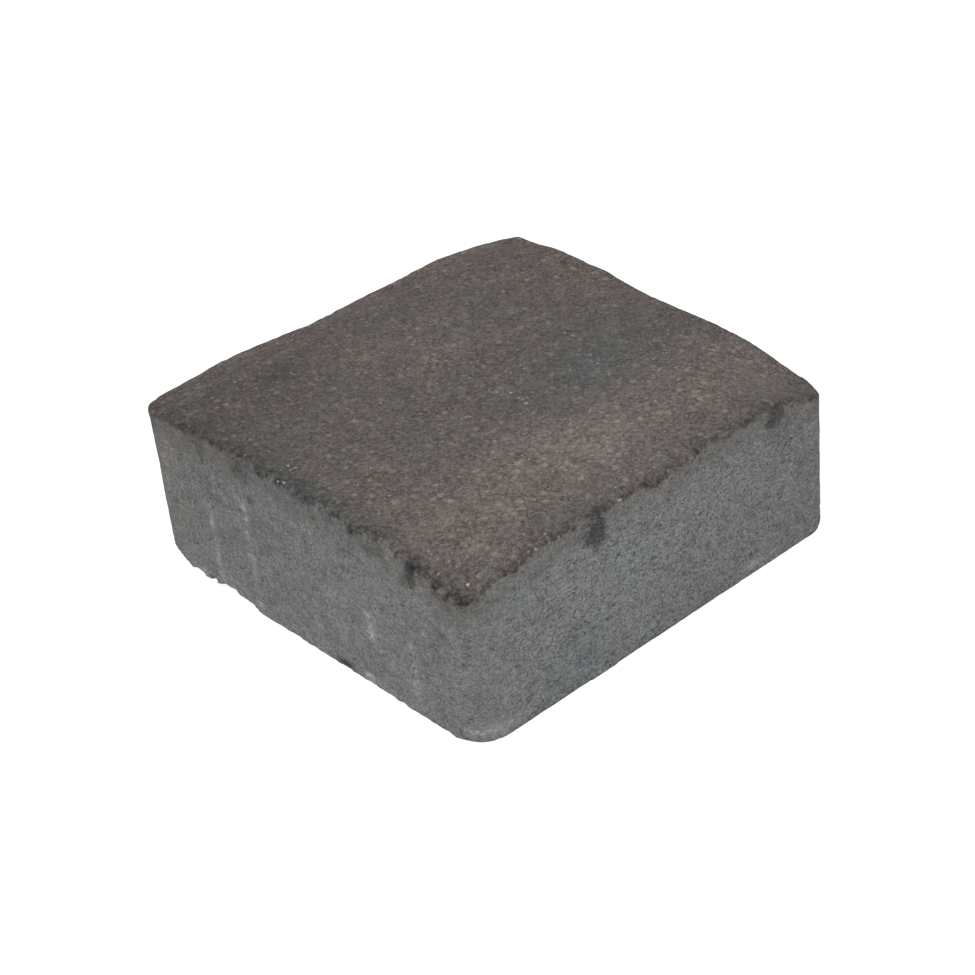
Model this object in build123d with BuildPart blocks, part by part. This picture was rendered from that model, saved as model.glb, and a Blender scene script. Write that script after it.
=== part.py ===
# Concrete paver: one cast block with a wavy, stone-like face over upright moulded walls.
# Millimetres. The origin is the middle of the flat underside, X and Y run along the walls, +Z is up.
import os
from math import exp

from build123d import *

# Plan of the block
length = 160.0              # along X, wall to wall
width = 160.0               # along Y, wall to wall
corner_radius = 12.0        # of the upright corners

# Height of the face above the underside
face_level = 59.8           # at the middle of the block
right_rise = 1.1            # how much higher the face's plane lies at the +X wall than at the middle
back_rise = 2.0             # the same at the +Y wall
rim_rounding = 2.0          # rolled edge where the face meets the walls
base_rounding = 1.0         # worn edge where the walls meet the underside

# Swells and hollows that the mould's stone-patterned shoe leaves in the face. Each is a bell shape:
# its place as shares of the half length and half width, its rise (a hollow's is negative), its reach.
swells = [
    (-1.04, -0.94, -6.0, 20.0),     # front corner, worn down
    (1.00, -0.88, -9.4, 22.0),      # right corner, worn down most
    (0.94, 1.02, -6.1, 21.0),       # back corner
    (-0.88, 1.08, -3.2, 20.0),      # left corner
    (-0.30, 1.14, -1.6, 30.0),      # dip in the back rim
    (0.28, 1.22, -7.4, 44.0),       # long fall to the back rim
    (0.30, 1.00, 1.4, 20.0),        # low hump within that fall
    (1.20, -0.15, -4.5, 30.0),      # dip in the right rim
    (1.05, -0.52, -1.0, 14.0),      # small notch beside it
    (1.11, 0.38, -1.3, 38.0),       # fall to the right rim
    (-0.88, -0.61, 2.1, 46.0),      # swell along the left rim
    (-1.17, 0.42, 2.6, 29.0),       # hump at the left rim
    (-0.52, -0.88, 0.7, 28.0),      # low hump at the front rim
    (0.60, -0.88, 2.0, 20.0),       # hump at the front rim
]

# The face is laid through a square mesh of points that runs a little past the walls
overrun = 10.0
point_pitch = 9.0


def face_height(x, y):
    """The sloping plane of the face, with each swell added where it lies."""
    height = face_level + right_rise * x / (length / 2) + back_rise * y / (width / 2)
    for share_x, share_y, rise, reach in swells:
        away = (x - share_x * length / 2) ** 2 + (y - share_y * width / 2) ** 2
        height += rise * exp(-away / reach**2)
    return height


def stations(span):
    """Even steps over a span and its overrun, about one pitch apart."""
    end = span / 2 + overrun
    steps = round(2 * end / point_pitch)
    return [end * (2 * step / steps - 1) for step in range(steps + 1)]


face_points = [[(x, y, face_height(x, y)) for y in stations(width)] for x in stations(length)]
wavy_face = Face.make_surface_from_array_of_points(face_points, min_deg=3)
highest = max(z for row in face_points for x, y, z in row)

with BuildPart() as paver:
    # Upright walls with rounded corners, raised past the face and cut back to it
    with BuildSketch():
        RectangleRounded(length, width, corner_radius)
    extrude(amount=highest + overrun)
    split(bisect_by=wavy_face, keep=Keep.BOTTOM)

    # Rolled rim all round the face, and the worn edge of the underside
    face = paver.faces().sort_by(Axis.Z)[-1]
    fillet(face.edges(), radius=rim_rounding)
    fillet(paver.edges().group_by(Axis.Z)[0], radius=base_rounding)

paver.part.label = "paver"
os.makedirs("parts", exist_ok=True)
export_step(paver.part, "parts/paver.step")
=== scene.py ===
# The finish of a square concrete paver. Shapes are worked out in millimetres and written in metres.
from math import cos, pi, radians, sin

import bpy
import numpy as np
from mathutils import Matrix, Vector


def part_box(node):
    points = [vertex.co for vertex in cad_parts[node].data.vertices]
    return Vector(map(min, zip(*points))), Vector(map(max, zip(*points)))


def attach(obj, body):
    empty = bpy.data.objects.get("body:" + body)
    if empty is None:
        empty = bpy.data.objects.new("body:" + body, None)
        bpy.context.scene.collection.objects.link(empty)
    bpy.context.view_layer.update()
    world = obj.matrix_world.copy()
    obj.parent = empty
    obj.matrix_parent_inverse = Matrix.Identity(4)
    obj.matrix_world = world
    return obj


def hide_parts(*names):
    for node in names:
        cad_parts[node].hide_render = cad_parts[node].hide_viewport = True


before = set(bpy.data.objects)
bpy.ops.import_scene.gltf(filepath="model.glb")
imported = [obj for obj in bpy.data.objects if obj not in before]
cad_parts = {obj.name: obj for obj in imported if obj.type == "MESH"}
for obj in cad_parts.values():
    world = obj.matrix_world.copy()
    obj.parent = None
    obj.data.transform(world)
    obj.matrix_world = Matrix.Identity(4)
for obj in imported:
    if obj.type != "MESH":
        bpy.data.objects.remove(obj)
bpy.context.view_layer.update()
MM = 0.001


# Camera: where the photograph was taken from, about the middle of the paver's underside. It stands
# a little under 0.8 m away, looks down at the corner between the two near walls, and is tilted a
# few degrees to one side.
camera_azimuth = radians(-39.34)
camera_elevation = radians(33.26)
camera_roll = radians(5.91)
camera_distance = 778.2 * MM
aim_right = 2.6 * MM                # how far the underside's middle lies right of the picture's middle
aim_down = 16.0 * MM                # and below it
picture_side = 975                  # pixels
focal_pixels = 2331.0
sensor = 36.0

level = cos(camera_elevation)
back = Vector((sin(camera_azimuth) * level, -cos(camera_azimuth) * level, sin(camera_elevation)))
level_right = (-back).cross(Vector((0, 0, 1))).normalized()
level_down = (-back).cross(level_right)
right = level_right * cos(camera_roll) + level_down * sin(camera_roll)
down = level_down * cos(camera_roll) - level_right * sin(camera_roll)

camera = bpy.data.objects.new("camera", bpy.data.cameras.new("camera"))
camera.data.sensor_width = sensor
camera.data.lens = sensor * focal_pixels / picture_side
camera.matrix_world = Matrix.Translation(
    back * camera_distance - right * aim_right - down * aim_down
) @ Matrix((right, -down, back)).transposed().to_4x4()
bpy.context.scene.collection.objects.link(camera)
bpy.context.scene.camera = camera


# Stage: a plain pale floor that shows white, with a soft trace of the paver's shadow, under plain
# soft light from above and in front. Its materials, and the paver's after it, are put together with
# the two classes here.
floor_reach = 3000.0 * MM
floor_white = 0.82
floor_seen = 0.45                   # how much light the floor shows the camera, beside its own glow
floor_glow = 0.80
sky_strength = 0.60
lamp_side = 900.0 * MM
lamp_distance = 1300.0 * MM
lamp_power = 11.0
lamp_from = Vector((-0.62, -0.62, 1.0)).normalized()


class Value:
    """One output socket. Each operator adds a Math node that works on it."""

    def __init__(self, maker, socket):
        self.maker = maker
        self.socket = socket

    def math(self, operation, first, second):
        return self.maker.node("ShaderNodeMath", [first, second], operation=operation)

    def __add__(self, other):
        return self.math("ADD", self, other)

    def __sub__(self, other):
        return self.math("SUBTRACT", self, other)

    def __rsub__(self, other):
        return self.math("SUBTRACT", other, self)

    def __mul__(self, other):
        return self.math("MULTIPLY", self, other)

    def __gt__(self, other):
        return self.math("GREATER_THAN", self, other)

    __radd__ = __add__
    __rmul__ = __mul__

    def at_least(self, other):
        return self.math("MAXIMUM", self, other)

    def step(self, low, high):
        """A smooth step from 0 at low to 1 at high."""
        return self.maker.node(
            "ShaderNodeMapRange",
            {"Value": self, "From Min": low, "From Max": high},
            interpolation_type="SMOOTHSTEP",
        )

    def output(self, key):
        """Another output of the same node."""
        return Value(self.maker, self.socket.node.outputs[key])


class Maker:
    """Adds nodes to a material or the world: a type, the values or links of its sockets, its settings."""

    seed_step = (37.1, -53.7, 71.3)     # how far a pattern moves for each 1 of its seed

    def __init__(self, owner):
        owner.use_nodes = True
        self.owner = owner
        self.tree = owner.node_tree
        self.tree.nodes.clear()

    def node(self, kind, inputs=(), out=0, **settings):
        made = self.tree.nodes.new(kind)
        for name, value in settings.items():
            setattr(made, name, value)
        pairs = inputs.items() if isinstance(inputs, dict) else enumerate(inputs)
        for key, value in pairs:
            if isinstance(value, Value):
                self.tree.links.new(value.socket, made.inputs[key])
            else:
                made.inputs[key].default_value = value
        return Value(self, made.outputs[out])

    def colour(self, red, green, blue):
        """A plain colour, in linear light."""
        return (red, green, blue, 1.0)

    def blend(self, share, first, second):
        """The first colour where the share is 0, the second where it is 1."""
        return self.node(
            "ShaderNodeMix", {0: share, 6: first, 7: second}, out=2, data_type="RGBA"
        )

    def scaled(self, vector, size):
        """A colour made lighter or darker, or a place in larger or smaller units."""
        return self.node("ShaderNodeVectorMath", {0: vector, "Scale": size}, operation="SCALE")

    def moved(self, place, seed):
        """The place moved well away, so that two patterns of one size don't match."""
        way = [step * seed for step in self.seed_step]
        return self.node("ShaderNodeVectorMath", {0: place, 1: way}, operation="ADD")

    def flattened(self, place, squeeze):
        """The place with its heights counted more, so that the lumps of a pattern lie flat."""
        return self.node("ShaderNodeVectorMath", [place, (1.0, 1.0, squeeze)], operation="MULTIPLY")

    def lumps(self, place, size, seed, detail=3.0, roughness=0.6):
        """Soft noise of one size, in the units of the place, about a mean of zero."""
        return self.node(
            "ShaderNodeTexNoise",
            {"Vector": self.moved(place, seed), "Scale": 1 / size, "Detail": detail, "Roughness": roughness},
        ) - 0.5

    def grains(self, place, size, seed):
        """Cells of one size: the distance to each one's middle, and its own random tone."""
        distance = self.node(
            "ShaderNodeTexVoronoi", {"Vector": self.moved(place, seed), "Scale": 1 / size}, feature="F1"
        )
        return distance, self.node("ShaderNodeSeparateColor", [distance.output("Color")], out=0)

    def scattered(self, place, size, seed, share, inner, outer, ragged=None):
        """A share of the grains, picked at random: 1 within the inner distance, 0 past the outer one."""
        distance, chance = self.grains(place, size, seed)
        if ragged is not None:
            distance = distance + ragged
        return (chance > 1 - share) * (1 - distance.step(inner, outer))

    def greened(self, colour, share):
        """A colour whose green is changed by a share."""
        change = self.node("ShaderNodeCombineXYZ", [1.0, 1 + share, 1.0])
        return self.node("ShaderNodeVectorMath", [colour, change], operation="MULTIPLY")

    def finish(self, kind, surface):
        output = self.tree.nodes.new(kind)
        self.tree.links.new(surface.socket, output.inputs["Surface"])
        return self.owner


def background_rays(maker):
    """1 where a ray that the camera, a gloss or a glass sends ends, 0 for the light on the object."""
    camera_ray = maker.node("ShaderNodeLightPath", out="Is Camera Ray")
    gloss_ray = camera_ray.output("Is Glossy Ray")
    return camera_ray.at_least(gloss_ray).at_least(camera_ray.output("Is Transmission Ray"))


floor_mesh = bpy.data.meshes.new("floor")
floor_mesh.from_pydata(
    [(x * floor_reach, y * floor_reach, 0) for x, y in ((-1, -1), (1, -1), (1, 1), (-1, 1))],
    [],
    [(0, 1, 2, 3)],
)
floor = bpy.data.objects.new("floor", floor_mesh)
bpy.context.scene.collection.objects.link(floor)

# The floor is white paint for the light, and for the camera a paler one with a glow. It is clear
# from below.
stage = Maker(bpy.data.materials.new("floor_paint"))
paint = stage.node("ShaderNodeBsdfDiffuse", {"Color": stage.colour(floor_white, floor_white, floor_white)})
seen = stage.node("ShaderNodeBsdfDiffuse", {"Color": stage.colour(floor_seen, floor_seen, floor_seen)})
glow = stage.node("ShaderNodeEmission", {"Strength": floor_glow})
shown = stage.node("ShaderNodeAddShader", [seen, glow])
top_side = stage.node("ShaderNodeMixShader", {0: background_rays(stage), 1: paint, 2: shown})
clear = stage.node("ShaderNodeBsdfTransparent")
from_below = stage.node("ShaderNodeNewGeometry", out="Backfacing")
floor_mesh.materials.append(stage.finish(
    "ShaderNodeOutputMaterial", stage.node("ShaderNodeMixShader", {0: from_below, 1: top_side, 2: clear})
))

world = bpy.data.worlds.new("sky")
bpy.context.scene.world = world
sky = Maker(world)
sky_light = sky.node("ShaderNodeBackground", {"Color": sky.colour(1, 1, 1), "Strength": sky_strength})
white = sky.node("ShaderNodeBackground", {"Color": sky.colour(1, 1, 1), "Strength": 1.0})
shown_sky = sky.node("ShaderNodeMixShader", {0: background_rays(sky), 1: sky_light, 2: white})
sky.finish("ShaderNodeOutputWorld", shown_sky)

lamp = bpy.data.objects.new("soft_lamp", bpy.data.lights.new("soft_lamp", "AREA"))
lamp.data.shape = "SQUARE"
lamp.data.size = lamp_side
lamp.data.energy = lamp_power
lamp.location = lamp_from * lamp_distance
lamp.rotation_mode = "QUATERNION"
lamp.rotation_quaternion = lamp_from.to_track_quat("Z", "Y")
bpy.context.scene.collection.objects.link(lamp)

bpy.context.scene.view_settings.view_transform = "Standard"


# Paver: a block of grey concrete with a brown and charcoal face mix on top, pressed together while
# wet in a steel mould. The face takes the waves of the mould's shoe, the walls its drag, and the
# face mix creeps over the rim in a ragged line, with a few runs down the walls.
paver_low, paver_high = (np.array(corner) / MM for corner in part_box("paver"))
half_length = (paver_high[0] - paver_low[0]) / 2
half_width = (paver_high[1] - paver_low[1]) / 2
skin = 0.3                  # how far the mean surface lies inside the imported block's walls and face
corner_radius = 12.0
rim_radius = 2.0
foot_radius = 0.5
cells = 188                 # squares along each wall
rim_rows = 5
wall_rows = 72
foot_rows = 2
sole_insets = (3.5, 7.0, 11.0)      # of the underside's outer rings
rounds_from = 0.6           # share of the way out where the face's rings start to grow round corners
tiny = 1e-6                 # keeps a divisor above 0

face_level = 59.8 - skin
right_rise = 1.1
back_rise = 2.0
swells = (                  # shares of the half sides, rise and reach
    (-1.04, -0.94, -6.0, 20.0),
    (1.00, -0.88, -9.4, 22.0),
    (0.94, 1.02, -6.1, 21.0),
    (-0.88, 1.08, -3.2, 20.0),
    (-0.30, 1.14, -1.6, 30.0),
    (0.28, 1.22, -7.4, 44.0),
    (0.30, 1.00, 1.4, 20.0),
    (1.20, -0.15, -4.5, 30.0),
    (1.05, -0.52, -1.0, 14.0),
    (1.11, 0.38, -1.3, 38.0),
    (-0.88, -0.61, 2.1, 46.0),
    (-1.17, 0.42, 2.6, 29.0),
    (-0.52, -0.88, 0.7, 28.0),
    (0.60, -0.88, 2.0, 20.0),
)


def hump(value, middle, reach):
    """1 at the middle, falling off smoothly to nothing about two reaches away."""
    return np.exp(-(((value - middle) / reach) ** 2))


def bell(x, y, middle_x, middle_y, reach_x, reach_y=None):
    """A hump round a point of a surface, with a reach of its own each way."""
    reach_y = reach_y or reach_x
    return np.exp(-(((x - middle_x) / reach_x) ** 2) - ((y - middle_y) / reach_y) ** 2)


def smooth(value, low, high):
    """0 below low, 1 above high, an S curve between them."""
    share = np.clip((value - low) / (high - low), 0, 1)
    return share * share * (3 - 2 * share)


table_size = 65536
corner_mixers = (73856093, 19349663, 83492791)      # large primes that scatter the corners' numbers


def noise(points, size, seed):
    """Random heights from -1 to 1 at the corners of cubes of one size, blended smoothly between them."""
    table = np.random.default_rng(seed).uniform(-1, 1, table_size)
    scaled = points / size
    cube = np.floor(scaled).astype(np.int64)
    share = scaled - cube
    share = share * share * (3 - 2 * share)
    total = np.zeros(points.shape[:-1])
    for corner in np.ndindex(2, 2, 2):
        key = np.bitwise_xor.reduce((cube + corner) * corner_mixers, axis=-1)
        weight = np.where(np.array(corner) == 1, share, 1 - share).prod(axis=-1)
        total += weight * table[key % table_size]
    return total


def layered_noise(points, *layers):
    """Several noises added up. Each layer is its height, the size of its lumps and its seed."""
    return sum(height * noise(points, size, seed) for height, size, seed in layers)


def face_height(x, y):
    """The sloping plane of the face, with each bell-shaped swell added where it lies."""
    height = face_level + right_rise * x / half_length + back_rise * y / half_width
    for share_x, share_y, rise, reach in swells:
        height = height + rise * bell(x, y, share_x * half_length, share_y * half_width, reach)
    return height


def rounded(x, y, half_x, half_y, radius):
    """Squeezes the outline of a rectangle into rounded corners. Within a radius of a corner, a
    point turns round the arc by its share of the way along the two walls."""
    over_x = np.clip((np.abs(x) - (half_x - radius)) / radius, 0, 1)
    over_y = np.clip((np.abs(y) - (half_y - radius)) / radius, 0, 1)
    turn = pi / 4 * (1 + over_y - over_x)
    inner_x = np.sign(x) * np.minimum(np.abs(x), half_x - radius)
    inner_y = np.sign(y) * np.minimum(np.abs(y), half_y - radius)
    return inner_x + radius * np.sign(x) * np.cos(turn), inner_y + radius * np.sign(y) * np.sin(turn)


# The face: a square grid whose outer rings grow rounded corners
steps = np.linspace(-1, 1, cells + 1)
share_x, share_y = np.meshgrid(steps, steps, indexing="ij")
ring = np.maximum(np.maximum(np.abs(share_x), np.abs(share_y)), tiny)
side_x = half_length - skin
side_y = half_width - skin
face_x, face_y = rounded(
    share_x * (side_x - rim_radius),
    share_y * (side_y - rim_radius),
    ring * (side_x - rim_radius),
    ring * (side_y - rim_radius),
    (corner_radius - rim_radius) * smooth(ring, rounds_from, 1.0) + tiny,
)
face_points = np.stack([face_x, face_y, face_height(face_x, face_y)], axis=-1)

# Round the walls: places along the square outline, from the front corner and anticlockwise from above
run = np.arange(cells) / cells * 2 - 1
low = np.full(cells, -1.0)
round_x = np.concatenate([run, -low, -run, low])
round_y = np.concatenate([low, run, -low, -run])


def band(inset, drop_from_face=None, height=None):
    """One row round the block, at an inset from the walls: below the face, or at a height."""
    x, y = rounded(
        round_x * (side_x - inset),
        round_y * (side_y - inset),
        side_x - inset,
        side_y - inset,
        corner_radius - inset,
    )
    z = face_height(x, y) - drop_from_face if height is None else height
    return np.stack([x, y, np.broadcast_to(z, x.shape)], axis=-1)


rim_turns = pi / 2 * np.arange(1, rim_rows + 1) / rim_rows
rim = [band(rim_radius * (1 - sin(turn)), drop_from_face=rim_radius * (1 - cos(turn))) for turn in rim_turns]
wall_top = rim[-1]
wall_foot = band(0.0, height=foot_radius)
walls = [wall_top + (wall_foot - wall_top) * row / wall_rows for row in range(1, wall_rows + 1)]
foot_turns = pi / 2 * np.arange(1, foot_rows + 1) / foot_rows
foot = [band(foot_radius * (1 - cos(turn)), height=foot_radius * (1 - sin(turn))) for turn in foot_turns]
sole = [band(inset, height=0.0) for inset in sole_insets]
rows = np.array(rim + walls + foot + sole)

grid_index = np.arange((cells + 1) ** 2).reshape(cells + 1, cells + 1)
border = np.concatenate([
    grid_index[:-1, 0], grid_index[-1, :-1], grid_index[:0:-1, -1], grid_index[0, :0:-1]
])
row_index = np.vstack([border, grid_index.size + np.arange(rows[..., 0].size).reshape(len(rows), -1)])
around = np.roll(row_index, -1, axis=1)
face_quads = np.stack(
    [grid_index[:-1, :-1], grid_index[1:, :-1], grid_index[1:, 1:], grid_index[:-1, 1:]], axis=-1
).reshape(-1, 4)
row_quads = np.stack([row_index[1:], around[1:], around[:-1], row_index[:-1]], axis=-1).reshape(-1, 4)
quads = np.vstack([face_quads, row_quads])
points = np.vstack([face_points.reshape(-1, 3), rows.reshape(-1, 3)])


def normals(places, polygons):
    """Each point's outward direction: the sum of the cross products of its squares' diagonals."""
    corner = places[polygons]
    facing = np.cross(corner[:, 2] - corner[:, 0], corner[:, 3] - corner[:, 1])
    total = np.zeros_like(places)
    for column in range(4):
        np.add.at(total, polygons[:, column], facing)
    return total / np.linalg.norm(total, axis=1, keepdims=True)


def by_row(values):
    """One number for each point: 0 on the face, and each row's own number below it."""
    return np.concatenate([np.zeros(grid_index.size), np.repeat(values, len(round_x))])


# Where each point lies: on the face, wall or underside, how far below the rim, and in plan how far in
# from the outline of the walls
outward = normals(points, quads)
x, y, z = points.T
rim_height = face_height(*rounded(
    np.clip(x, -side_x, side_x), np.clip(y, -side_y, side_y), side_x, side_y, corner_radius
))
on_face = np.arange(len(points)) < grid_index.size
below_rim = np.where(on_face, 0.0, rim_height - z)
on_wall = by_row([*np.sin(rim_turns) ** 2] + [1.0] * len(walls + foot + sole))
on_sole = by_row([0.0] * len(rim + walls + foot) + [1.0] * len(sole))
past_x = np.abs(x) - (side_x - corner_radius)
past_y = np.abs(y) - (side_y - corner_radius)
past_both = np.hypot(np.maximum(past_x, 0), np.maximum(past_y, 0))
to_edge = corner_radius - past_both - np.minimum(np.maximum(past_x, past_y), 0)

# The four walls: which points lie on each, and how far along it
walls_by_name = {
    "left": (np.abs(x + side_x) < corner_radius, y),
    "front": (np.abs(y + side_y) < corner_radius, x),
    "back": (np.abs(y - side_y) < corner_radius, x),
    "right": (np.abs(x - side_x) < corner_radius, y),
}

# How far the face mix creeps down each wall, and where it goes further or stops short: wall, place
# along it, reach and how much more. It makes the mix's depth, which is below 0 in the body mix.
creep_by_wall = {"left": 0.5, "front": 1.3, "back": 1.4, "right": 1.4}
creep_changes = (
    ("left", 50.0, 17.0, 1.0),
    ("left", 13.0, 2.6, 1.0),
    ("left", -7.5, 3.2, 1.5),
    ("left", -29.5, 3.0, 1.1),
    ("left", -41.0, 8.0, -0.8),
    ("left", -61.0, 3.0, -0.8),
    ("left", -77.0, 3.0, 1.2),      # tip of the front corner
    ("front", -70.5, 4.5, -1.8),
    ("front", -59.5, 1.5, 0.8),
    ("front", -45.0, 8.0, -0.5),
    ("front", 0.0, 5.0, 1.7),
    ("front", 28.0, 2.5, 1.1),
    ("front", 39.0, 4.0, 1.0),
    ("front", 48.0, 14.0, 0.6),
)
flow = layered_noise(points, (0.60, 9.0, 11), (0.60, 4.5, 12), (0.40, 2.4, 13))
creep = tiny
total_share = tiny
for wall, mean_creep in creep_by_wall.items():
    share = walls_by_name[wall][0] * smooth(-to_edge, -8.0, -2.0)
    creep = creep + share * mean_creep
    total_share = total_share + share
creep = creep / total_share
for wall, place, reach, more in creep_changes:
    side, along = walls_by_name[wall]
    creep = creep + np.where(side, more * hump(along, place, reach), 0)
mix_depth = creep + flow - below_rim + np.where(on_face, np.maximum(to_edge - rim_radius, 0), 0)
crept = smooth(mix_depth, -0.3, 0.3) * on_wall

# Stains where dark slurry ran down the walls: wall, place along it, height, half width, half height
# and tone
runs = (
    ("left", -56.2, 53.2, 2.9, 5.2, -0.52),
    ("left", -53.8, 50.4, 1.9, 3.2, -0.36),
    ("left", -60.0, 57.6, 5.2, 2.6, -0.60),
    ("left", 24.0, 55.0, 5.0, 4.0, -0.24),
    ("front", -26.5, 51.4, 4.5, 7.0, -0.60),
    ("front", -31.0, 52.2, 3.2, 4.8, -0.22),
    ("front", 51.0, 53.6, 4.6, 4.4, -0.42),
    ("front", 54.0, 47.0, 5.5, 7.0, -0.18),
    ("back", -38.0, 53.0, 3.5, 4.6, -0.42),
    ("back", 12.0, 54.5, 2.2, 3.2, -0.30),
    ("right", 30.0, 53.0, 4.0, 5.0, -0.42),
    ("right", -22.0, 54.0, 2.4, 3.2, -0.30),
)
uneven = layered_noise(points, (0.18, 3.1, 14), (0.24, 1.5, 15))
run_tone = np.zeros(len(points))
for wall, place, up, half_run, half_drop, darker in runs:
    side, along = walls_by_name[wall]
    depth = 1 - np.hypot((along - place) / half_run, (z - up) / half_drop) + uneven
    stain = darker * smooth(depth, -0.15, 0.35) * on_wall
    run_tone = np.where(side, np.minimum(run_tone, stain), run_tone)

# Surface relief, outwards from the mean surface: the grain of the face, the grain and pits of the
# walls, and the crumbled rim
pit_depth = 0.28
most_crumbs_lost = 0.65
face_relief = layered_noise(points, (0.16, 13.0, 21), (0.12, 5.5, 22), (0.09, 2.4, 23), (0.06, 1.2, 24))
wall_relief = layered_noise(points, (0.09, 9.0, 31), (0.06, 3.4, 32), (0.06, 1.9, 33), (0.04, 1.1, 34))
pits = smooth(layered_noise(points, (1.0, 2.3, 35), (0.5, 1.3, 36)), 0.62, 0.95)
wall_relief = wall_relief - pit_depth * pits
near_rim = hump(to_edge, 0.0, 2.5) * (1 - smooth(below_rim, 1.5, 4.5))
crumbly = 0.35 + 0.65 * smooth(-x - y, -30, 60)     # the two near rims are the most worn
crumble = layered_noise(points, (0.22, 3.4, 41), (0.20, 1.7, 42), (0.12, 1.0, 43))
crumbs_lost = most_crumbs_lost * smooth(layered_noise(points, (1.0, 6.0, 44), (0.4, 2.5, 45)), 0.35, 0.8)
rim_relief = (crumble - crumbs_lost) * crumbly

# A burr of body mix at the foot of the front wall, where the mould's sole leaked
burr_place = -27.8
burr_reach = 6.2
burr_thickness = 0.3
near_foot = smooth(-z, -4.5, -0.4)
foot_relief = layered_noise(points, (0.04, 4.5, 51), (0.03, 1.8, 52))
side, along = walls_by_name["front"]
burr = np.where(side, smooth(1 - np.abs(along - burr_place) / burr_reach, 0.0, 0.2), 0) * near_foot

# All the relief together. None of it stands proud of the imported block.
crept_thickness = 0.14      # of the thin skin of face mix on top of a wall
deepest = -3.0
proudest = 0.93 * skin
relief = face_relief * (1 - on_wall) + wall_relief * on_wall * (1 - 0.6 * crept) + crept_thickness * crept
relief = relief * (1 - 0.75 * near_foot) + foot_relief * near_foot * (1 - burr) + burr_thickness * burr
relief = relief + rim_relief * near_rim
relief = np.clip(relief * (1 - on_sole), deepest, proudest)
points = points + outward * relief[:, None]

# Knocks at the far rims and corners of the face: place, reach, rise and push outwards
knocks = (
    (-77.6, 75.0, 4.0, 0.7, 0.4),       # sharp lip of the left corner
    (-77.6, 75.0, 14.0, 0.0, 0.12),
    (79.2, 65.5, 3.3, 1.0, 0.0),        # burr beside the back corner, and the drops round it
    (74.0, 77.0, 4.0, -0.5, 0.0),
    (31.0, 79.0, 11.0, -0.6, 0.0),
    (43.0, 79.0, 6.0, -0.35, 0.0),
    (69.0, 79.0, 6.0, -0.25, 0.0),
    (-8.0, 79.0, 4.0, -0.4, 0.0),
    (-53.0, 79.0, 5.0, -0.35, 0.0),
    (79.5, 22.0, 5.0, 0.5, 0.0),
    (79.5, 4.0, 7.0, -0.4, 0.0),
    (79.5, 55.0, 4.0, -0.4, 0.0),
    (79.3, -61.5, 3.5, 0.6, 0.0),       # burrs near the right corner
    (79.0, -67.5, 2.0, 0.7, 0.0),
    (77.5, -74.5, 3.0, -0.7, 0.0),
)
for middle_x, middle_y, reach, rise, push in knocks:
    share = bell(x, y, middle_x, middle_y, reach) * (1 - smooth(below_rim, 1.0, 1.0 + 1.5 * reach))
    points[:, 2] += rise * share
    points[:, :2] += push * (share * on_wall)[:, None] * np.sign((middle_x, middle_y)) * sin(pi / 4)

# Chips along the foot, each a slanting cut: wall, place along it, half length, how high it reaches
chips = (
    ("left", 66.5, 5.0, 2.3),
    ("left", 58.6, 4.4, 2.6),
    ("left", 54.0, 3.0, 1.5),
    ("left", 50.8, 2.6, 3.2),
    ("left", 42.0, 6.5, 3.4),
    ("left", 38.0, 13.0, 2.4),
    ("left", -22.0, 52.0, 0.7),
    ("left", -38.0, 4.5, 1.1),
    ("left", -64.0, 7.0, 0.75),
    ("left", -18.2, 4.0, 1.0),
    ("front", -71.8, 1.6, 0.8),
    ("back", 34.0, 7.0, 2.4),
    ("back", -51.0, 4.0, 1.6),
    ("right", -12.0, 6.0, 2.0),
    ("right", 57.0, 3.5, 1.4),
)
cut_out, cut_up = 0.6, -0.8         # the way that a cut faces: outwards and down
ragged_by = 0.5                     # how unevenly a chip starts and ends
facing_by_wall = {"left": (-1, 0), "front": (0, -1), "back": (0, 1), "right": (1, 0)}
broken = layered_noise(points, (0.25, 3.0, 55), (0.15, 1.4, 56))
for wall, place, half_chip, up in chips:
    along = walls_by_name[wall][1] + ragged_by * noise(points, 2.0, 54)
    facing = np.array(facing_by_wall[wall] + (0,)) * cut_out + np.array((0, 0, cut_up))
    share = smooth(1 - np.abs(along - place) / half_chip, 0.0, 0.4)
    beyond = points @ facing - side_x * cut_out + up * -cut_up * share + broken * share
    points = points - facing * np.where(share > 0, np.maximum(beyond, 0), 0)[:, None]

# Corners worn off at the foot: the way each cut faces in plan, and how much of the upright edge is gone
worn_below = 12.0
worn_up = -0.80             # how steeply each cut faces down
worn_corners = (
    (-0.42, 0.42, 6.9),
    (-0.54, -0.24, 0.9),
    (0.42, -0.42, 1.5),
    (0.42, 0.42, 2.5),
)
for facing_x, facing_y, up in worn_corners:
    facing = np.array((facing_x, facing_y, worn_up))
    facing = facing / np.linalg.norm(facing)
    corner_reach = (side_x - corner_radius) * np.abs(facing[:2]).sum()
    corner_reach = corner_reach + corner_radius * np.hypot(*facing[:2])
    beyond = points @ facing - corner_reach - facing[2] * up + 0.6 * broken
    points = points - facing * np.where(z < worn_below, np.maximum(beyond, 0), 0)[:, None]
points[:, 2] = np.maximum(points[:, 2], 0.0)

mesh = bpy.data.meshes.new("paver_cast")
sole_polygon = row_index[-1][::-1].tolist()
mesh.from_pydata((points * MM).tolist(), [], quads.tolist() + [sole_polygon])
mesh.shade_smooth()

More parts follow.
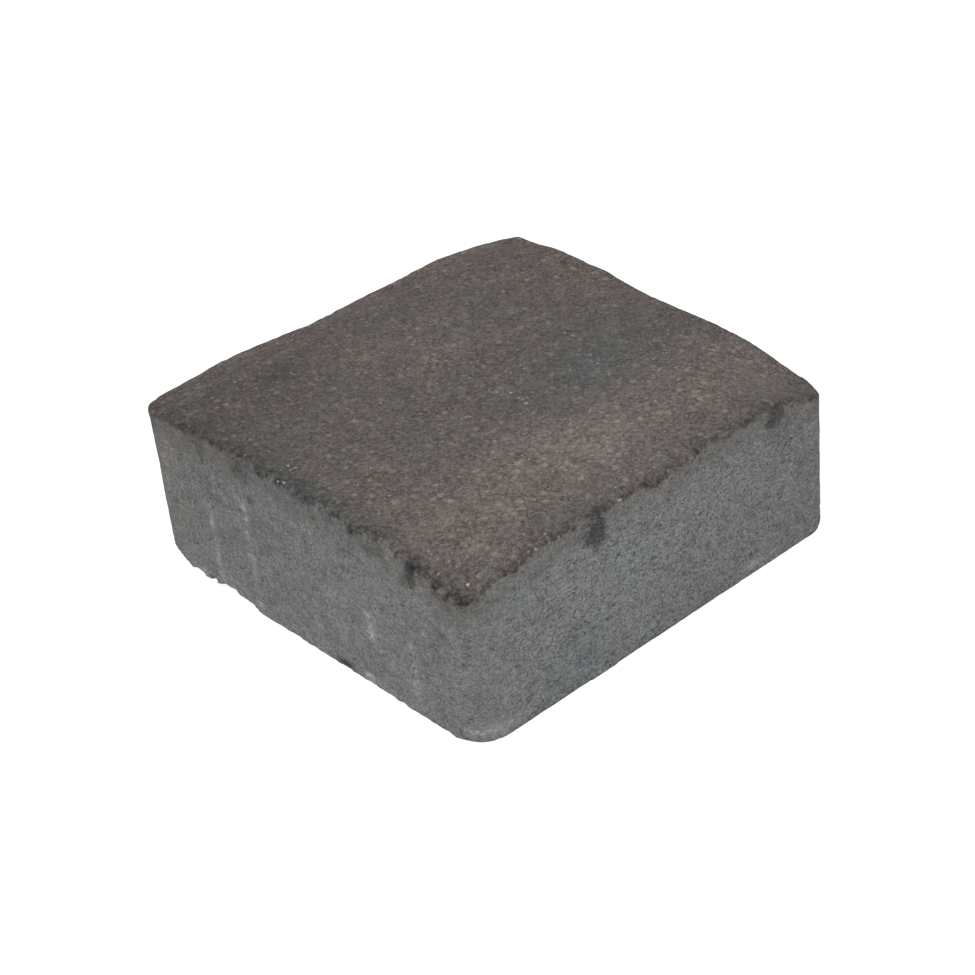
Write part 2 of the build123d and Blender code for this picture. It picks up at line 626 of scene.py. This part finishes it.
# Blend of the face mix, where it is paler or darker and warmer or colder than the rest: place,
# reaches, tone and warmth
face_patches = (
    # Brown band along the front rim
    (-10.0, -50.0, 80.0, 18.0, 0.29, 0.16),
    (-6.0, -50.0, 18.0, 10.0, 0.16, 0.05),
    (-55.0, -54.0, 16.0, 12.0, 0.04, 0.20),
    (60.0, -56.0, 26.0, 14.0, 0.10, 0.08),
    (58.0, -65.0, 12.0, 10.0, 0.10, 0.00),
    (68.0, -66.0, 10.0, 7.0, 0.06, 0.10),
    (5.0, -60.0, 10.0, 6.0, 0.06, -0.25),
    (-3.0, -63.0, 6.0, 5.0, 0.07, 0.10),
    (-4.0, -70.0, 7.0, 8.0, 0.10, 0.00),
    (-35.0, -65.0, 6.0, 5.0, 0.09, 0.05),
    (0.0, -77.0, 70.0, 6.0, 0.05, 0.00),
    (-10.0, -35.0, 24.0, 8.0, 0.07, 0.00),
    (-12.0, -36.0, 15.0, 7.0, 0.07, 0.00),
    (-7.0, -37.0, 7.0, 4.0, 0.16, 0.10),
    (-2.0, -36.0, 8.0, 5.0, 0.05, 0.00),
    # Charcoal patch beside it
    (27.0, -20.5, 20.0, 11.0, -0.06, -0.65),
    (45.0, -11.0, 34.0, 14.0, 0.00, -0.22),
    # Darker front rim and right corner
    (-30.0, -80.5, 60.0, 3.5, -0.12, -0.10),
    (45.0, -80.5, 40.0, 3.5, -0.08, -0.12),
    (75.0, -75.0, 10.0, 9.0, -0.20, -0.20),
    # Dark clods over two of the stains
    (-78.0, -57.0, 2.4, 4.6, -0.38, -0.20),
    (-25.5, -78.6, 3.6, 1.8, -0.30, -0.20),
    # Dark border along the left rim
    (-77.0, 0.0, 6.5, 36.0, -0.19, -0.45),
    (-78.0, 48.0, 9.0, 22.0, -0.20, -0.10),
    (-79.0, -55.0, 6.0, 20.0, -0.16, -0.05),
    (-79.0, -5.0, 4.0, 10.0, -0.06, -0.20),
    (-75.0, -66.0, 6.0, 6.0, -0.12, 0.00),
    (-76.0, 25.0, 6.0, 9.0, -0.10, 0.00),
    # Paler and warmer spots in that border and beside it
    (-79.5, 46.0, 3.0, 16.0, 0.08, 0.10),
    (-75.0, 35.0, 5.0, 8.0, 0.08, 0.00),
    (-54.5, -12.5, 6.0, 3.5, 0.16, 0.40),
    (-66.0, -27.0, 6.0, 10.0, 0.02, 0.40),
    # Cold dark spots near the left corner
    (-52.0, 54.0, 32.0, 22.0, -0.16, 0.00),
    (-38.0, 58.0, 8.0, 6.0, -0.22, -0.40),
    (-61.0, 63.0, 6.0, 5.0, -0.16, -0.35),
    (-44.0, 73.0, 6.0, 5.0, -0.10, -0.30),
    (-76.0, 75.0, 4.0, 5.0, -0.12, 0.00),
    # Warm pale spots between them
    (-70.0, 53.0, 7.0, 5.0, 0.04, 0.35),
    (-57.0, 52.0, 6.0, 4.0, 0.08, 0.30),
    (-40.0, 65.0, 10.0, 5.0, 0.16, 0.22),
    (-65.0, 65.0, 5.0, 4.0, 0.10, 0.00),
    (-64.0, 66.0, 5.0, 4.0, 0.10, 0.20),
    # Pale bands across the middle, and the darker stretch behind them
    (5.0, 41.0, 24.0, 10.0, 0.12, 0.08),
    (-12.0, 47.0, 10.0, 5.0, 0.08, 0.25),
    (-10.0, 45.0, 8.0, 5.0, 0.10, 0.00),
    (8.0, 25.0, 18.0, 9.0, 0.07, 0.00),
    (8.0, 20.0, 14.0, 8.0, 0.06, 0.10),
    (10.0, 25.0, 16.0, 5.0, 0.04, 0.00),
    (-1.5, 21.5, 6.5, 4.0, 0.14, 0.40),
    (13.0, 27.0, 10.0, 3.0, 0.12, -0.15),
    (12.0, 60.0, 13.0, 9.0, -0.06, 0.00),
    # Sandy far rims
    (40.0, 77.5, 42.0, 3.5, 0.16, 0.45),
    (-50.0, 77.5, 30.0, 3.0, 0.05, 0.25),
    (77.5, 58.0, 3.5, 28.0, 0.10, 0.30),
    (-38.0, 77.0, 12.0, 4.5, 0.12, 0.25),
    (-37.0, 76.0, 7.0, 4.0, 0.14, 0.00),
    (62.0, 77.5, 22.0, 4.0, 0.13, 0.20),
    (55.0, 76.0, 7.0, 4.0, 0.15, 0.00),
    (77.0, -6.0, 4.0, 5.0, 0.14, 0.15),
    # Warmer stretches inside the far rims
    (70.0, 42.0, 20.0, 32.0, 0.02, 0.28),
    (74.0, 70.0, 10.0, 10.0, 0.08, 0.10),
    (72.0, 23.0, 8.0, 6.0, 0.14, 0.10),
    (-18.0, 70.0, 10.0, 8.0, -0.04, 0.25),
    (40.0, 63.0, 14.0, 8.0, 0.02, 0.22),
)

# Marks on the walls: wall, place along it, height, reaches, tone and warmth
wall_marks = (
    # Broad tones of the left wall: paler in the middle, and at the foot with painted light that lifts the
    # contact shade of the floor there; darker under the rim and near its two ends
    ("left", -24.0, 20.0, 26.0, 22.0, 0.10, 0.00),
    # Painted light: paler along the foot, lifting the contact shade at the floor
    ("left", 0.0, 2.0, 75.0, 3.0, 0.18, 0.00),
    ("left", 45.0, 52.0, 40.0, 5.0, -0.14, 0.10),
    ("left", 0.0, 42.0, 90.0, 7.0, -0.06, 0.05),
    ("left", 0.0, 30.0, 75.0, 7.0, -0.03, 0.05),
    ("left", -75.0, 25.0, 5.0, 40.0, -0.10, 0.00),
    ("left", 80.0, 30.0, 5.0, 50.0, -0.12, 0.00),
    ("left", 75.0, 48.0, 6.0, 9.0, -0.14, 0.00),
    ("left", 75.0, 15.0, 6.0, 9.0, 0.10, 0.00),
    ("left", 65.0, 2.0, 5.0, 3.0, -0.14, 0.00),
    # Brown shade on it near the left corner, and a brown lump beside the run
    ("left", 50.0, 56.0, 28.0, 4.0, -0.06, 0.45),
    ("left", 70.0, 40.0, 14.0, 40.0, 0.00, 0.45),
    ("left", -51.8, 49.0, 1.2, 2.6, -0.16, 1.20),
    # Dark spots on it, and the nick at its foot
    ("left", 20.8, 46.4, 2.0, 1.8, -0.55, 0.00),
    ("left", -25.4, 48.0, 1.6, 1.8, -0.46, 0.00),
    ("left", -23.3, 41.8, 2.2, 1.2, -0.32, 0.00),
    ("left", -67.5, 37.3, 2.4, 2.2, -0.46, -0.10),
    ("left", 65.5, 27.0, 3.0, 1.6, -0.26, 0.00),
    ("left", -30.8, 16.8, 1.2, 1.2, -0.30, 0.00),
    ("left", -3.3, 20.6, 1.4, 1.2, -0.28, 0.00),
    ("left", -67.3, 52.9, 2.4, 1.4, -0.30, -0.10),
    ("left", -20.3, 56.6, 3.0, 1.2, -0.26, 0.00),
    ("left", -30.0, 57.0, 2.6, 1.4, -0.34, 0.00),
    ("left", -36.5, 54.2, 2.4, 1.2, -0.36, 0.00),
    ("left", -42.0, 54.6, 1.8, 1.1, -0.34, 0.00),
    ("left", -33.5, 48.4, 1.2, 1.2, -0.20, 0.00),
    ("left", -64.5, 40.0, 2.2, 1.6, -0.22, 0.00),
    ("left", -18.3, 2.2, 4.4, 1.8, -1.20, -0.20),
    # Pale spots on it
    ("left", -68.0, 30.0, 1.6, 1.6, 0.14, 0.00),
    ("left", -48.6, 53.4, 1.0, 0.6, 0.40, 0.10),
    # Broad tones of the front wall: paler in the middle, darker at the foot, under the rim and near
    # its two ends
    ("front", -10.0, 35.0, 36.0, 20.0, 0.08, 0.00),
    ("front", 0.0, 1.5, 80.0, 2.0, -0.10, -0.10),
    ("front", 30.0, 6.0, 30.0, 14.0, -0.05, 0.00),
    ("front", 45.0, 52.0, 22.0, 3.0, -0.05, 0.00),
    ("front", 61.0, 24.0, 12.0, 16.0, -0.07, 0.00),
    ("front", 61.5, 45.0, 6.0, 3.5, -0.12, 0.00),
    ("front", 60.0, 11.0, 12.0, 5.0, -0.07, 0.00),
    ("front", 66.0, 11.0, 7.0, 5.0, -0.06, 0.05),
    ("front", -75.0, 6.0, 4.0, 6.0, -0.08, 0.00),
    ("front", -75.0, 52.0, 4.0, 5.0, -0.10, 0.00),
    ("front", -72.0, 10.0, 7.0, 9.0, -0.07, -0.10),
    ("front", -76.0, 41.0, 4.0, 5.0, -0.07, 0.05),
    # Cold patches on it
    ("front", -38.0, 10.0, 11.0, 9.0, -0.08, -0.60),
    ("front", -58.0, 45.0, 9.0, 7.0, -0.02, -0.25),
    ("front", -12.0, 34.0, 9.0, 12.0, 0.02, -0.20),
    ("front", 42.5, 4.0, 5.0, 2.2, 0.16, -0.45),
    ("front", 51.0, 2.5, 2.2, 1.6, 0.12, -0.45),
    # Dark spots on it
    ("front", -50.0, 49.5, 5.0, 0.9, -0.22, 0.00),
    ("front", -50.8, 33.5, 2.2, 2.0, -0.26, 0.00),
    ("front", 27.5, 30.0, 3.0, 2.4, -0.18, 0.00),
    ("front", 11.7, 26.5, 2.6, 1.8, -0.18, 0.00),
    # The two far walls
    ("back", -12.0, 30.0, 14.0, 10.0, -0.06, -0.30),
    ("back", 44.0, 18.0, 1.4, 12.0, 0.14, 0.00),
    ("back", -58.0, 36.0, 2.6, 2.2, -0.28, 0.00),
    ("back", 22.0, 47.0, 2.8, 2.2, -0.24, 0.00),
    ("right", -48.0, 24.0, 1.4, 10.0, 0.14, 0.10),
    ("right", 18.0, 40.0, 2.4, 2.4, -0.26, 0.00),
    ("right", 50.0, 14.0, 12.0, 9.0, -0.06, -0.35),
    ("right", -10.0, 6.0, 4.0, 2.4, 0.16, 0.00),
)


def wall_spot(wall, place, up, reach_along, reach_up):
    """A bell on one wall, round a place along it and a height."""
    side, along = walls_by_name[wall]
    return bell(along, z, place, up, reach_along, reach_up) * side * open_wall


open_wall = on_wall * (1 - on_sole)
tone = np.zeros(len(points))
warmth = np.zeros(len(points))
for middle_x, middle_y, reach_x, reach_y, paler, warmer in face_patches:
    share = bell(x, y, middle_x, middle_y, reach_x, reach_y) * (1 - smooth(below_rim, 1.5, 3.0))
    tone += paler * share
    warmth += warmer * share
for wall, place, up, reach_along, reach_up, paler, warmer in wall_marks:
    share = wall_spot(wall, place, up, reach_along, reach_up)
    tone += paler * share
    warmth += warmer * share

# The left wall is blotched, and every wall is rubbed darker and browner just under the rim
on_left = walls_by_name["left"][0]
left_darker = 0.045
blotches = layered_noise(points, (0.10, 3.2, 61), (0.07, 6.5, 62))
tone += open_wall * np.where(on_left, blotches - left_darker, 0.3 * blotches)
rubbed = on_wall * smooth(below_rim, -0.2, 1.2) * (1 - smooth(below_rim, 5.0, 12.0))
tone += -0.18 * rubbed + run_tone
warmth += 0.35 * rubbed

# How open the grain of the walls is: closer under the rim, on the left wall and at the front corner
openness = (1 - on_sole) * (0.95 + 0.25 * smooth(below_rim, 5.0, 14.0)) * (1 - 0.8 * run_tone)
openness = openness * (1 - 0.12 * bell(x, y, -78.0, -78.0, 14.0)) * (1 - 0.12 * on_left)

# Pale scuffs and streaks of flecks on the walls: wall, place along it, height, reaches, how pale
scuffs = (
    ("left", 45.0, 27.6, 1.2, 2.6, 1.20),
    ("left", 44.4, 33.6, 1.1, 1.2, 0.40),
    ("left", 45.0, 11.8, 1.5, 8.5, 0.50),
    ("left", 40.0, 46.8, 0.6, 0.5, 0.90),
    ("left", 25.2, 41.8, 1.3, 1.3, 0.80),
    ("left", 24.2, 37.2, 1.1, 1.8, 0.50),
    ("left", 25.2, 31.4, 1.2, 1.6, 0.50),
    ("left", 24.8, 22.5, 1.5, 1.6, 1.00),
    ("left", 24.6, 15.8, 1.3, 3.0, 0.55),
    ("left", 24.2, 4.4, 1.6, 1.3, 0.90),
    ("left", -6.7, 11.0, 1.4, 1.8, 0.50),
    ("left", -32.7, 28.0, 1.1, 1.2, 0.80),
    ("left", -33.8, 21.6, 1.9, 3.2, 1.00),
    ("left", -30.0, 3.0, 2.6, 1.4, 1.00),
    ("left", -52.6, 26.0, 0.9, 1.2, 0.80),
    ("left", -53.2, 12.5, 1.3, 6.5, 0.55),
    ("left", -46.7, 55.6, 0.7, 0.6, 1.00),
    ("left", -59.6, 34.3, 0.6, 0.6, 0.90),
    ("left", -75.0, 4.0, 2.5, 1.2, 0.50),
    ("left", 54.5, 3.6, 3.5, 1.2, 0.60),
    ("front", 40.0, 3.6, 5.5, 1.5, 0.50),
    ("front", -70.0, 4.0, 6.0, 2.0, 0.35),
    ("back", 44.0, 18.0, 1.4, 12.0, 0.40),
    ("back", -24.0, 30.0, 1.6, 3.0, 0.60),
    ("right", -48.0, 24.0, 1.4, 10.0, 0.40),
    ("right", -10.0, 5.0, 4.0, 2.0, 0.50),
)
scuffed = 0.05 * on_left * open_wall * smooth(below_rim, 4.0, 9.0)
for wall, place, up, reach_along, reach_up, pale in scuffs:
    scuffed += pale * wall_spot(wall, place, up, reach_along, reach_up)

# Where the mix is full of dark lumps: along the two near rims, and less so near the left corner
# It also marks where painted shade darkens the line at the mix's edge.
lumps_and_edge_shade = hump(to_edge, 0.0, 4.6) * np.where(on_left, 1.0, 0.65) * crumbly
lumps_and_edge_shade = lumps_and_edge_shade * (1 - 0.5 * smooth(y, 42.0, 66.0))

# How softly the mix ends: on the left wall it fades out near the left corner, and a little by the run
fading = 0.40 + on_left * (0.05 + 0.8 * smooth(y, 40.0, 60.0) + 0.3 * hump(y, -45.0, 12.0))

# The layers of numbers that the mesh carries, one for each point, for the material to read
layers = {
    "face_mix": mix_depth,
    "tone": tone,
    "warmth": warmth,
    "openness": openness,
    "lumps_and_edge_shade": lumps_and_edge_shade,
    "fading": fading,
    "scuffed": scuffed,
}
for name, values in layers.items():
    mesh.attributes.new(name, "FLOAT", "POINT").data.foreach_set("value", values.astype(np.float32))

cast = Maker(bpy.data.materials.new("cast_concrete"))
place = cast.scaled(cast.node("ShaderNodeTexCoord", out="Object"), 1 / MM)
darkest = 0.2               # the least share of its colour that either mix keeps


def layer(name):
    """Reads one of the mesh's layers of numbers."""
    return cast.node("ShaderNodeAttribute", out="Fac", attribute_name=name)


# Face mix: cold charcoal to warm brown sand, with paler grains and a few tan ones. The cold mix has
# the calmer grain.
cold_mix = cast.colour(0.100, 0.1025, 0.0995)
warm_mix = cast.colour(0.123, 0.0970, 0.0870)
tan_grain = cast.colour(0.34, 0.30, 0.25)
dust = cast.lumps(place, size=0.55, seed=4.0, roughness=0.75)
clump = cast.scattered(
    place, size=2.7, seed=23.0, share=0.20, inner=0.20, outer=0.56, ragged=dust * 0.6
)
mix_hue = 0.60 + layer("warmth") + 1.25 * cast.lumps(place, size=7.0, seed=1.0) + clump * 0.35
warm_share = mix_hue.step(-0.3, 1.3)
sand_distance, sand_tone = cast.grains(place, size=0.9, seed=2.0)
pale_grain = cast.scattered(place, size=1.6, seed=3.0, share=0.14, inner=0.12, outer=0.40)
mottle = cast.lumps(place, size=2.2, seed=5.0).at_least(-0.04)
pale_clumps = mottle.step(0.07, 0.22)
cloud = cast.lumps(place, size=8.0, seed=6.0)
clods = cast.lumps(place, size=2.8, seed=15.0, detail=4.0, roughness=0.7).step(0.02, 0.08)
clods = clods * layer("lumps_and_edge_shade")
mix_grit = (
    (sand_tone - 0.5) * 0.60 - (sand_distance - 0.45) * 0.5 + dust * 1.8 + mottle * 0.35 + cloud * 0.7
    + pale_clumps * 0.20 + clump * 0.50 + pale_grain * 0.8
)
mix_grit = mix_grit * (0.74 + warm_share * 0.34)
mix_tone = (0.95 + layer("tone")).at_least(darkest) * (0.945 + mix_grit).at_least(0.3) * (1 - clods * 0.56)
mix_colour = cast.scaled(cast.blend(warm_share, cold_mix, warm_mix), mix_tone)
speck = cast.scattered(place, size=2.2, seed=7.0, share=0.07, inner=0.12, outer=0.30)
mix_colour = cast.blend(speck * 0.6, mix_colour, tan_grain)

# Pebbles that show in the face: place, size and how pale
pebbles = (
    (-71.4, 9.0, 0.50, 0.75),
    (-72.4, 6.8, 0.40, 0.60),
    (-77.9, 2.7, 0.65, 1.00),
    (-78.6, 4.9, 0.50, 0.60),
    (1.3, -20.2, 0.75, 0.70),
    (2.5, -12.0, 0.45, 0.70),
    (-16.7, -3.7, 0.45, 0.60),
    (-4.2, 63.0, 0.50, 0.70),
    (26.7, -35.3, 0.55, 0.60),
    (-16.6, -79.4, 0.85, 0.75),
    (-50.6, -79.3, 0.55, 0.80),
    (-67.4, -79.2, 0.50, 0.80),
    (-72.0, -73.0, 0.55, 1.00),
    (-77.1, -74.8, 0.50, 0.80),
    (52.0, -33.0, 0.55, 0.50),
    (-38.0, -60.0, 0.50, 0.50),
)
pebble_depth = 0.3
pebble_colour = cast.colour(0.44, 0.385, 0.32)
jagged = cast.lumps(place, size=0.7, seed=16.0, detail=2.0, roughness=0.5) * 1.6
for middle_x, middle_y, size, pale in pebbles:
    middle = (middle_x, middle_y, float(face_height(middle_x, middle_y)) - pebble_depth)
    away = cast.node("ShaderNodeVectorMath", [place, middle], out="Value", operation="DISTANCE")
    pebble = 1 - (away + jagged).step(size * 0.6, size * 1.2)
    mix_colour = cast.blend(pebble * pale, mix_colour, pebble_colour)

# Body mix: plain grey cement and sand, open and pitted on the walls, packed in thin beds
cold_body = cast.colour(0.146, 0.160, 0.164)
warm_body = cast.colour(0.171, 0.162, 0.153)
bedded = cast.flattened(place, 1.35)
body_hue = 0.48 + layer("warmth") + 0.8 * cast.lumps(place, size=9.0, seed=8.0)
open_face = layer("openness")
body_distance, body_grain = cast.grains(bedded, size=0.85, seed=9.0)
body_dust = cast.lumps(bedded, size=0.5, seed=10.0, roughness=0.75)
body_mottle = cast.lumps(bedded, size=2.6, seed=11.0)
body_cloud = cast.lumps(bedded, size=6.5, seed=17.0)
# Pits and hollows: dents in the bump, and painted shade where they darken the colour below
body_pits_and_shade = cast.lumps(bedded, size=1.0, seed=12.0, detail=2.0).step(0.12, 0.16)
hollows_and_shade = cast.lumps(cast.flattened(place, 2.2), size=2.1, seed=22.0, detail=2.0).step(0.15, 0.19)
glint = cast.scattered(bedded, size=1.1, seed=18.0, share=0.07, inner=0.12, outer=0.38)
flecks = 0.50 + cast.lumps(bedded, size=1.4, seed=21.0, roughness=0.7).step(-0.04, 0.10)
# The grit of the body, with painted shade in its pits and hollows
body_grit = (
    (body_grain - 0.5) * 0.46 - (body_distance - 0.45) * 0.46 + body_dust * 1.9 + body_mottle * 0.40
    + body_cloud * 0.45 - body_pits_and_shade * 0.24 - hollows_and_shade * 0.44 + glint * 0.46
)
body_tone = (
    (1.083 + layer("tone")) * (1.0 + open_face * body_grit)
    + cast.lumps(place, size=20.0, seed=13.0, roughness=0.5) * 0.25
    + flecks * layer("scuffed") * 1.3
)
body_colour = cast.blend(body_hue.step(-0.3, 1.3), cold_body, warm_body)
body_colour = cast.scaled(body_colour, body_tone.at_least(darkest))

# The ragged line between the two, strung with dark clods and painted shadow, and a faint green here and
# there
fade = layer("fading")
ragged_line = cast.lumps(place, size=2.4, seed=14.0, detail=4.0, roughness=0.65) * 3.4
mix_edge = layer("face_mix") + ragged_line
is_mix = mix_edge.step(fade * -1.0, fade)
edge_clods_and_shadow = cast.lumps(place, size=2.6, seed=19.0, detail=4.0, roughness=0.7).step(0.01, 0.06)
at_edge = mix_edge.step(-1.6, 0.0) * (1 - mix_edge.step(0.6, 2.6)) * layer("lumps_and_edge_shade")
green = cast.lumps(place, size=6.5, seed=20.0, detail=4.0, roughness=0.65)
colour = cast.blend(is_mix, body_colour, mix_colour)
# Darker along the line: dark slurry clods, and painted shadow under them
colour = cast.scaled(colour, 1 - at_edge * (0.03 + edge_clods_and_shadow * 0.50))
colour = cast.greened(colour, (0.07 + 0.09 * is_mix) * green)
body_height = open_face * (body_dust * 0.12 - body_pits_and_shade * 0.20 - hollows_and_shade * 0.30)
height = dust * 0.22 - sand_distance * 0.12 + clods * 0.25 + (1 - is_mix) * body_height
bump = cast.node("ShaderNodeBump", {"Height": height, "Distance": 1.0 * MM, "Strength": 0.8})
surface = cast.node(
    "ShaderNodeBsdfPrincipled",
    {"Base Color": colour, "Roughness": 0.9, "Normal": bump, "Specular IOR Level": 0.25},
)
mesh.materials.append(cast.finish("ShaderNodeOutputMaterial", surface))

paver = bpy.data.objects.new("paver_cast", mesh)
bpy.context.scene.collection.objects.link(paver)
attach(paver, "root")
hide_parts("paver")
